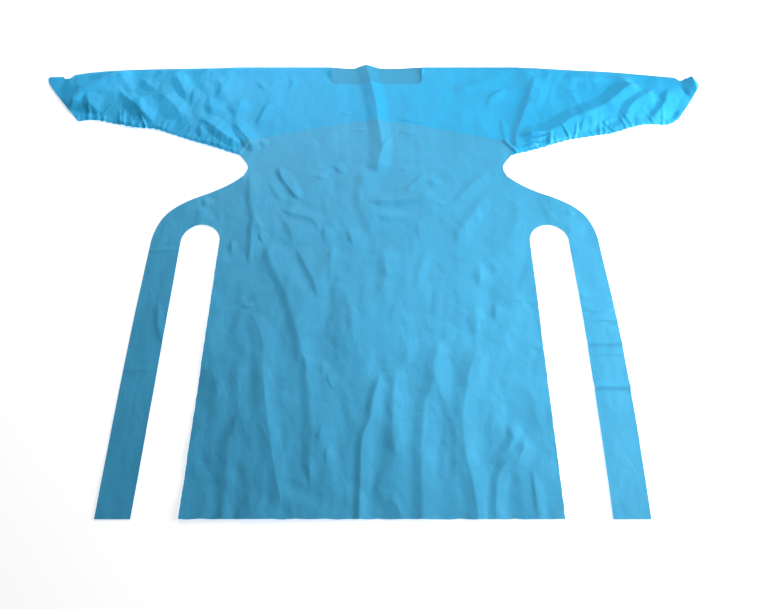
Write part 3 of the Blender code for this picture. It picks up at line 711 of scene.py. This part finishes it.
def sown(outline, lanes, step):
    """The outline's points, then those inside it: close ones on the creases, and an even field between."""
    kept, cells = [], {}

    def near(x, y, gap):
        column, row, span = int(x // CREASE_CLEAR), int(y // CREASE_CLEAR), int(gap // CREASE_CLEAR) + 1
        for i in range(column - span, column + span + 1):
            for j in range(row - span, row + span + 1):
                if any(math.hypot(x - a, y - b) < gap for a, b in cells.get((i, j), ())):
                    return True
        return False

    field = even_field(outline, step)
    for group, gap in ((outline, 0.0), (lanes, CREASE_CLEAR), (field, FIELD_CLEAR * step)):
        points = np.array(list(group), float).reshape(-1, 2)
        if gap:
            points = points[inside(outline, points)]
        for x, y in points:
            if not gap or not near(x, y, gap):
                kept.append((x, y))
                cells.setdefault((int(x // CREASE_CLEAR), int(y // CREASE_CLEAR)), []).append((x, y))
    return np.array(kept)


def triangles(points, rim):
    """Triangles between the points, inside the rim, which is the first points in order."""
    edges = [(i, (i + 1) % rim) for i in range(rim)]
    faces = delaunay_2d_cdt(points.tolist(), edges, [], INSIDE_THE_RIM, MERGE)[2]
    return [tuple(face) for face in faces]


def spread(outline, lanes, step, surface):
    """The points of one layer of film in plan, its triangles, and its points at their heights."""
    plan = sown(outline, lanes, step)
    return plan, triangles(plan, len(outline)), np.column_stack((plan, surface(plan)))


def rolled(points, faces, closing, outward, low, ends=None):
    """Closes folded or welded edges: the film goes round in steps from the upper points to the lower
    height, or to the ends where the lower points are there already."""
    count, total = len(points), [points]
    spots = sorted({i for pair in closing for i in pair})
    levels = [{i: i for i in spots}]
    for k in range(1, FOLD_TURNS if ends else FOLD_TURNS + 1):
        turn = math.pi * k / FOLD_TURNS
        reach, share = FOLD_RADIUS * math.sin(turn), (1 + math.cos(turn)) / 2
        levels.append({i: count + at for at, i in enumerate(spots)})
        count += len(spots)
        for i in spots:
            height = low[i] + (points[i, 2] - low[i]) * share
            total.append([(*(points[i, :2] + reach * outward[i]), height)])
    if ends:
        levels.append(ends)
    for above, below in zip(levels, levels[1:]):
        faces += [(above[j], above[i], below[i], below[j]) for i, j in closing]
    return np.vstack(total), faces


def face_normals(points, faces):
    """Each point's normal, from the faces round it."""
    normals = np.zeros((len(points), 3))
    for size in (3, 4):
        corners = np.array([face for face in faces if len(face) == size])
        if len(corners):
            a, b, c = (points[corners[:, k]] for k in (0, 1, 2))
            away = np.cross(b - a, c - a)
            for k in range(size):
                np.add.at(normals, corners[:, k], away)
    return normals / np.maximum(np.linalg.norm(normals, axis=1), TINY)[:, None]


def put(name, data):
    """A new object of this data, in the scene."""
    made = bpy.data.objects.new(name, data)
    bpy.context.scene.collection.objects.link(made)
    return made


def area_of(outline):
    """The area inside an outline, in square metres."""
    x, y = np.array(outline).T * MM
    return abs(float(np.dot(x, np.roll(y, -1)) - np.dot(y, np.roll(x, -1)))) / 2


def film_panel(name, outer, faces, normals, finish, doubled):
    """One panel of film: its outer face, its inner face a film's thickness in, and its cut edges."""
    count = len(outer)
    sides = {(face[k], face[(k + 1) % len(face)]) for face in faces for k in range(len(face))}
    cut = [(b, a, a + count, b + count) for a, b in sides if (b, a) not in sides]
    inner = [tuple(i + count for i in face[::-1]) for face in faces]
    points = np.vstack((outer, outer - FILM * normals))
    mesh = bpy.data.meshes.new(name)
    mesh.from_pydata(place(points).tolist(), [], faces + inner + sorted(cut))
    mesh.shade_smooth()
    mesh.normals_split_custom_set_from_vertices(np.vstack((normals, -normals)).tolist())
    layers = mesh.attributes.new("doubled", "FLOAT", "POINT")
    layers.data.foreach_set("value", np.concatenate((doubled, doubled)))
    mesh.materials.append(finish)
    return put(name, mesh)


# The panels

def front_outline():
    """The front with its side wings, as far as the ties' heads, the armholes and the shoulder fold."""
    fold = LENGTH - FOLD_RADIUS
    top = on_armhole(ARMHOLE_TOP[1] - FOLD_RADIUS)
    half = joined(
        spaced(((0, 0), (HEM_HALF, 0), (HEM_HALF, SLOT_Y))),
        arc((HEM_HALF + SLOT_RADIUS, SLOT_Y), SLOT_RADIUS, 180, 0),
        spaced(((TIE_INNER, SLOT_Y), (TIE_OUTER, SLOT_Y))),
        pulled((TIE_OUTER, SLOT_Y), WING_SIDE, WING_TOP, WING_END),
        smooth((WING_END, ARMPIT, ARMHOLE_LOW)),
        spaced((ARMHOLE_LOW, top, (SHOULDER_X, fold), (NECK_HALF, fold))),
        spaced(((NECK_HALF, fold), (NECK_HALF, NECK_Y + NECK_CORNER))),
        arc((NECK_HALF - NECK_CORNER, NECK_Y + NECK_CORNER), NECK_CORNER, 0, -90),
        spaced(((NECK_HALF - NECK_CORNER, NECK_Y), (0, NECK_Y))),
    )
    return joined(half, flip(half, -1)[::-1])


def cut_by_hand(outline):
    """The outline with the small wander of a cut edge, where it is neither seam nor fold."""
    points = np.array(outline)
    shift = ripple(points * CUT_STRETCH, CUT_RUN, CUT_RUN, CUT_SEED) * CUT_SWAY
    x, y = np.abs(points[:, 0]), points[:, 1]
    low = (y < CUT_SLOT_TOP) & (x < HEM_HALF + CUT_CORNER)
    neck = (np.abs(y - NECK_Y) < CUT_NECK_BAND) & (x < NECK_HALF - CUT_CORNER)
    hem = y < EDGE_MARGIN
    points[:, 0] += np.where(low & ~hem, shift, 0)
    points[:, 1] += np.where((low & hem) | neck, shift * CUT_LEVEL_SHARE, 0)
    return [tuple(point) for point in points]


def yoke_outline():
    """The short upper back: its arched lower edge, the armholes, the fold and the back neck edge."""
    fold = LENGTH - YOKE_TUCK
    low, top = on_armhole(YOKE_END_Y), on_armhole(ARMHOLE_TOP[1] - YOKE_TUCK)
    arch = [(x, float(yoke_edge(x))) for x, _ in spaced(((0, 0), (YOKE_DROP_X, 0)))]
    half = joined(arch, spaced((low, top, (SHOULDER_X, fold), (NECK_HALF, fold)), YOKE_EDGE_STEP))
    neck = [(x, fold - dip) for x, dip in smooth(NECK_EDGE)][::-1]
    return joined(half, neck, flip(half, -1)[::-1])


def front_panel():
    """The front: one layer of film from hem to shoulders, turned down along the shoulder fold."""
    outline = cut_by_hand(front_outline())
    count = len(outline)
    along = np.arange(-ARCH_HALF, ARCH_HALF, CREASE_STEP)
    arch = [(x, float(yoke_edge(x)) + row) for row in ARCH_ROWS for x in along]
    lanes = [*arch, *crease_lanes((MIDDLE_RIDGE, *CREASES))]
    plan, faces, points = spread(outline, lanes, FRONT_STEP, upper_film)
    on_fold = [y > LENGTH - FOLD_BAND and abs(x) > NECK_HALF - SAME_POINT for x, y in outline]
    folded = [(i, (i + 1) % count) for i in range(count) if on_fold[i] and on_fold[(i + 1) % count]]
    turned = {i for pair in folded for i in pair}
    outward = np.tile((0.0, 1.0), (count, 1))
    points, faces = rolled(points, faces, folded, outward, np.zeros(count))
    normals = face_normals(points, faces)
    flat = [i for i in range(len(plan)) if i not in turned]
    normals[flat] = slopes(upper_film, plan[flat])
    over_yoke = ramp((plan[:, 1] - yoke_edge(plan[:, 0])) / TONE_RUN + 0.5)
    doubled = np.concatenate((over_yoke, np.ones(len(points) - len(plan))))
    return points, faces, normals, doubled, outline


def back_yoke():
    """The short upper back, which shows in the neck opening."""
    outline = yoke_outline()
    plan, faces, points = spread(outline, crease_lanes((MIDDLE_RIDGE,)), YOKE_STEP, under_film)
    points[:, 2] += FILM
    return points, faces, slopes(under_film, plan), np.zeros(len(plan)), outline


def tie(side, rows):
    """A waist tie: the outer strip of the front's film, from the hem to the slot's head."""
    outer = smooth([(side * row.outer, row.y) for row in rows])
    inner = smooth([(side * row.inner, row.y) for row in rows])
    head = spaced((inner[0], outer[0]))
    end = spaced((outer[-1], inner[-1]))
    outline = joined(head, outer, end, inner[::-1])
    if side > 0:
        outline.reverse()
    plan, faces, points = spread(outline, crease_lanes(TIE_CREASES), TIE_STEP, upper_film)
    return points, faces, slopes(upper_film, plan), np.zeros(len(plan)), outline


def sleeve_outline(sleeve):
    """A sleeve's outline, with what each of its edges is: arm, weld, cuff, fold or thumb."""
    runs = (
        ("arm", spaced((on_armhole(ARMHOLE_TOP[1] - FOLD_RADIUS), ARMHOLE_LOW))),
        ("weld", flip(WELDS[sleeve.side], sleeve.side)[::-1]),
        ("cuff", smooth(sleeve.cuff)[::-1]),
        ("fold", spaced(sleeve.tip)[::-1]),
        ("thumb", smooth(sleeve.thumb, WELD_STEP)[::-1]),
        ("fold", smooth(sleeve.fold)[::-1]),
    )
    outline, kinds = [], []
    for kind, points in runs:
        outline += points[:-1]
        kinds += [kind] * (len(points) - 1)
    points, outward = np.array(outline), np.zeros((len(outline), 2))
    for i, kind in enumerate(kinds):
        j = (i + 1) % len(outline)
        run = points[j] - points[i]
        if kind == "fold":
            for k in (i, j):
                outward[k] += (run[1], -run[0]) / np.hypot(*run)
    size = np.hypot(*outward.T)
    outward[size > 0] /= size[size > 0, None]
    # The armhole's top corner is already drawn in by the fold's radius
    outward[0] = 0.0
    points = points - FOLD_RADIUS * outward
    outward[0] = (0.0, 1.0)
    points[:, 0] *= sleeve.side
    outward[:, 0] *= sleeve.side
    if sleeve.side < 0:
        # Read the other way round, so that each edge keeps what it is
        points, outward = points[::-1], outward[::-1]
        kinds = kinds[-2::-1] + kinds[-1:]
    return [tuple(point) for point in points], kinds, outward


def film_sleeve(row):
    """A sleeve: a tube of film pressed flat, folded on top and welded under the arm."""
    outline, kinds, outward = sleeve_outline(row)
    rim = len(outline)
    top, faces, upper = spread(outline, crease_lanes(CREASES), SLEEVE_STEP, upper_film)
    under, turned, lower = spread(outline, (), UNDER_STEP, under_film)
    start = len(top)
    faces += [(start + c, start + b, start + a) for a, b, c in turned]
    closing = [(i, (i + 1) % rim) for i, kind in enumerate(kinds) if kind in ("fold", "weld")]
    ends = {i: start + i for i in range(rim)}
    points, faces = rolled(np.vstack((upper, lower)), faces, closing, outward, lower[:, 2], ends)
    normals = face_normals(points, faces)
    # The armhole's top corner and the fold's first point beside it lie at the front's slope
    shut = {i for pair in closing for i in pair} - {0, rim - 1}
    flat = [i for i in range(len(top)) if i not in shut]
    normals[flat] = slopes(upper_film, top[flat])
    return points, faces, normals, np.ones(len(points)), outline


# Finishes

# The patterns of the film, in millimetres: streaks down the gown, where it was blown thicker and
# thinner, cloudy haze, crushed facets, bent by a slow sway, fine crinkle between the creases, and the
# emboss, drawn at 2 mm instead of 0.4 mm so that it shows
STREAK_ACROSS = 30.3
STREAK_ALONG = 250.0
HAZE = 90.9
CRUSHES = (45.45, 16.13)
SWAY = 50.0
SWAY_RUN = 71.43
CRINKLE = 9.09
EMBOSS = 2.0

# Facets are about 1.8 times as long down the gown as across
CRUSH_SHRINK = 0.55

# The film's blue in one layer, in two, and where it lies behind the front, in the yoke: a darker copy of the
# one-layer blue, which is painted shade where the yoke shows in the neck opening
ONE_LAYER = "#4cb4e3"
TWO_LAYERS = "#36b7ef"
ONE_LAYER_PAINTED_SHADE = "#3ea6d3"

# The floor's half side and how far it lies below the gown, and over what run its tone drifts, in metres
FLOOR_HALF = 30.0
FLOOR_DROP = 0.0003
FLOOR_DRIFT = 20.0


def linear(colour):
    """Linear red, green, blue and alpha of an sRGB hex colour."""
    parts = [int(colour[i:i + 2], 16) / 255 for i in (1, 3, 5)]
    return (*((p / 12.92 if p <= 0.04045 else ((p + 0.055) / 1.055) ** 2.4) for p in parts), 1.0)


def per_metre(size):
    """The scale of a pattern whose size is in millimetres, on coordinates in metres."""
    return 1 / (size * MM)


def add(tree, kind, settings=(), links=()):
    """A node with its settings, by property or socket, and the sockets that feed it."""
    made = tree.nodes.new(kind)
    for name, value in dict(settings).items():
        if hasattr(made, str(name)):
            setattr(made, name, value)
        else:
            made.inputs[name].default_value = value
    for name, source in dict(links).items():
        tree.links.new(source, made.inputs[name])
    return made


def blown_film(name, single, double):
    """Chlorinated polyethylene film, blown and finely embossed: satin, with no sparkle. One layer looks
    greyer, because the light goes through it, and two layers look brighter and more blue."""
    made = bpy.data.materials.new(name)
    made.use_nodes = True
    tree = made.node_tree
    shader = tree.nodes["Principled BSDF"]
    shader.inputs["IOR"].default_value = 1.51
    shader.inputs["Metallic"].default_value = 0.0
    shader.inputs["Specular IOR Level"].default_value = 0.16
    here = add(tree, "ShaderNodeTexCoord").outputs["Object"]
    # The blue of one layer or of two, lighter and darker by streaks and haze
    across, along = per_metre(STREAK_ACROSS), per_metre(STREAK_ALONG)
    drawn = add(tree, "ShaderNodeMapping", {"Scale": (across, along, across)}, {"Vector": here})
    streaks = add(tree, "ShaderNodeTexNoise", {"Scale": 1.0, "Detail": 3.0, "Roughness": 0.55},
                  {"Vector": drawn.outputs["Vector"]})
    haze = add(tree, "ShaderNodeTexNoise", {"Scale": per_metre(HAZE), "Detail": 2.0}, {"Vector": here})
    cloud = add(tree, "ShaderNodeMath", {"operation": "ADD"},
                {0: streaks.outputs["Fac"], 1: haze.outputs["Fac"]})
    shade = add(tree, "ShaderNodeMapRange",
                {"From Min": 0.6, "From Max": 1.4, "To Min": 0.93, "To Max": 1.07},
                {"Value": cloud.outputs["Value"]})
    layers = add(tree, "ShaderNodeAttribute", {"attribute_name": "doubled"})
    blue = add(tree, "ShaderNodeMix", {"data_type": "RGBA", 6: linear(single), 7: linear(double)},
               {0: layers.outputs["Fac"]})
    tone = add(tree, "ShaderNodeHueSaturation",
               links={"Color": blue.outputs[2], "Value": shade.outputs["Result"]})
    tree.links.new(tone.outputs["Color"], shader.inputs["Base Color"])
    gloss = add(tree, "ShaderNodeMapRange",
                {"From Min": 0.3, "From Max": 0.7, "To Min": 0.5, "To Max": 0.6},
                {"Value": haze.outputs["Fac"]})
    tree.links.new(gloss.outputs["Result"], shader.inputs["Roughness"])
    # The facets have sharp edges, as film has that was crushed in its pack
    bent = add(tree, "ShaderNodeTexNoise", {"Scale": per_metre(SWAY_RUN), "Detail": 2.0}, {"Vector": here})
    sway = add(tree, "ShaderNodeVectorMath",
               {"operation": "MULTIPLY_ADD", 1: (SWAY * MM, SWAY * MM, 0.0)},
               {0: bent.outputs["Color"], 2: here})
    long = add(tree, "ShaderNodeMapping", {"Scale": (1.0, CRUSH_SHRINK, 1.0)},
               {"Vector": sway.outputs["Vector"]})
    coarse, fine = (
        add(tree, "ShaderNodeTexVoronoi", {"feature": "DISTANCE_TO_EDGE", "Scale": per_metre(size)},
            {"Vector": long.outputs["Vector"]}) for size in CRUSHES
    )
    crinkle = add(tree, "ShaderNodeTexNoise", {"Scale": per_metre(CRINKLE), "Detail": 3.0}, {"Vector": here})
    emboss = add(tree, "ShaderNodeTexVoronoi", {"Scale": per_metre(EMBOSS)}, {"Vector": here})
    # Each relief lies on the one before it, with its strength and its depth in millimetres
    normal = {}
    for relief, strength, depth in (
        (coarse.outputs["Distance"], 1.0, 1.2),
        (fine.outputs["Distance"], 1.0, 0.3),
        (crinkle.outputs["Fac"], 0.18, 0.6),
        (emboss.outputs["Distance"], 0.12, 0.2),
    ):
        bump = add(tree, "ShaderNodeBump", {"Strength": strength, "Distance": depth * MM},
                   {"Height": relief, **normal})
        normal = {"Normal": bump.outputs["Normal"]}
    tree.links.new(bump.outputs["Normal"], shader.inputs["Normal"])
    return made


def matt_paper():
    """Uncoated white paper, rolled smooth: matt, with no grain that shows from so far, and a slow drift of
    tone. Its faint glow keeps it near white under the gown's own lights."""
    made = bpy.data.materials.new("matt_white_paper")
    made.use_nodes = True
    tree = made.node_tree
    shader = tree.nodes["Principled BSDF"]
    # With no coordinates of its own, the pattern is measured in shares of the floor's side
    drift = add(tree, "ShaderNodeTexNoise", {"Scale": 2 * FLOOR_HALF / FLOOR_DRIFT, "Detail": 2.0})
    tone = add(tree, "ShaderNodeMix", {"data_type": "RGBA", 6: linear("#f4f5f6"), 7: linear("#f8f8f8")},
               {0: drift.outputs["Fac"]})
    tree.links.new(tone.outputs[2], shader.inputs["Base Color"])
    shader.inputs["Roughness"].default_value = 0.9
    shader.inputs["Specular IOR Level"].default_value = 0.1
    shader.inputs["Emission Color"].default_value = (1.0, 1.0, 1.0, 1.0)
    shader.inputs["Emission Strength"].default_value = 0.6
    return made


# The floor, the camera and the lights

# Where the camera stands and how far it is tilted up from straight down, as the photo's perspective
# gave it, with its lens in millimetres for the usual sensor, 36 mm wide
CAMERA_AT = (0.037, -0.745, 1.2056)
CAMERA_TILT = 26.57
LENS = 27.94

# A softbox: where it stands, the point that it faces, the length of its side, all in metres, its power
# in watts, and the angle that its light spreads over
Softbox = namedtuple("Softbox", "name at aim side watts spread")
SOFTBOXES = (
    Softbox("side_light", (2.0, -0.2, 0.62), (0.35, -0.05, 0.0), 1.1, 56.0, 180),
    Softbox("corner_light", (1.4, -1.1, 0.8), (0.4, -0.3, 0.0), 1.0, 2.4, 180),
    Softbox("top_light", (-0.35, 1.4, 1.1), (-0.05, 0.5, 0.0), 1.2, 21.0, 180),
    Softbox("front_light", (0.28, -0.55, 1.25), (0.25, -0.2, 0.0), 0.3, 0.28, 48),
)


def pale_floor():
    """A wide studio floor of white paper."""
    mesh = bpy.data.meshes.new("floor")
    turns = ((-1, -1), (1, -1), (1, 1), (-1, 1))
    corners = [(x * FLOOR_HALF, y * FLOOR_HALF, -FLOOR_DROP) for x, y in turns]
    mesh.from_pydata(corners, [], [(0, 1, 2, 3)])
    mesh.materials.append(matt_paper())
    put("floor", mesh)


def stand(box):
    """Makes a softbox and turns it to the point that it faces."""
    light = bpy.data.lights.new(box.name, "AREA")
    light.size = box.side
    light.energy = box.watts
    light.spread = math.radians(box.spread)
    made = put(box.name, light)
    made.location = box.at
    x, y, z = np.array(box.aim) - np.array(box.at)
    made.rotation_euler = (math.atan2(math.hypot(x, y), -z), 0.0, math.atan2(-x, y))


def studio():
    """The camera, the lights and the room's own light."""
    scene = bpy.context.scene
    data = bpy.data.cameras.new("camera")
    data.lens = LENS
    scene.camera = put("camera", data)
    scene.camera.location = CAMERA_AT
    scene.camera.rotation_euler = (math.radians(CAMERA_TILT), 0.0, 0.0)
    scene.view_settings.view_transform = "Standard"
    room = bpy.data.worlds.new("room")
    room.use_nodes = True
    tree = room.node_tree
    back = tree.nodes["Background"]
    back.inputs["Color"].default_value = linear("#f4f6f8")
    # The walls look pale but add little light
    seen = add(tree, "ShaderNodeLightPath").outputs["Is Camera Ray"]
    glow = add(tree, "ShaderNodeMapRange", {"To Min": 0.06, "To Max": 0.9}, {"Value": seen})
    tree.links.new(glow.outputs["Result"], back.inputs["Strength"])
    scene.world = room
    for box in SOFTBOXES:
        stand(box)


# Assembly

def lay(name, node, panel, finish, layers=1):
    """Makes a panel of film, puts it on its body and hides the part's node that it stands for. The area of
    all its layers is worked out but not kept."""
    points, faces, normals, doubled, outline = panel
    made = film_panel(name, points, faces, normals, finish, doubled)
    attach(made, "root")
    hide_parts(node)
    layers * area_of(outline)


def dress():
    """Makes the gown's six panels of film."""
    finish = blown_film("blue_blown_film", ONE_LAYER, TWO_LAYERS)
    # The yoke's film is a darker copy of the one-layer blue: painted shade in the neck opening
    behind = blown_film("blue_blown_film_painted_shade", ONE_LAYER_PAINTED_SHADE, ONE_LAYER_PAINTED_SHADE)
    lay("front_film", "front_panel", front_panel(), finish)
    lay("yoke_film", "back_yoke", back_yoke(), behind)
    for name, side, rows in TIES:
        width = max(row.outer for row in rows) - min(row.inner for row in rows)
        lay(name + "_film", name, tie(side, rows), finish)
    for row in SLEEVES:
        lay(row.name + "_film", row.name, film_sleeve(row), finish, layers=2)


dress()
pale_floor()
studio()
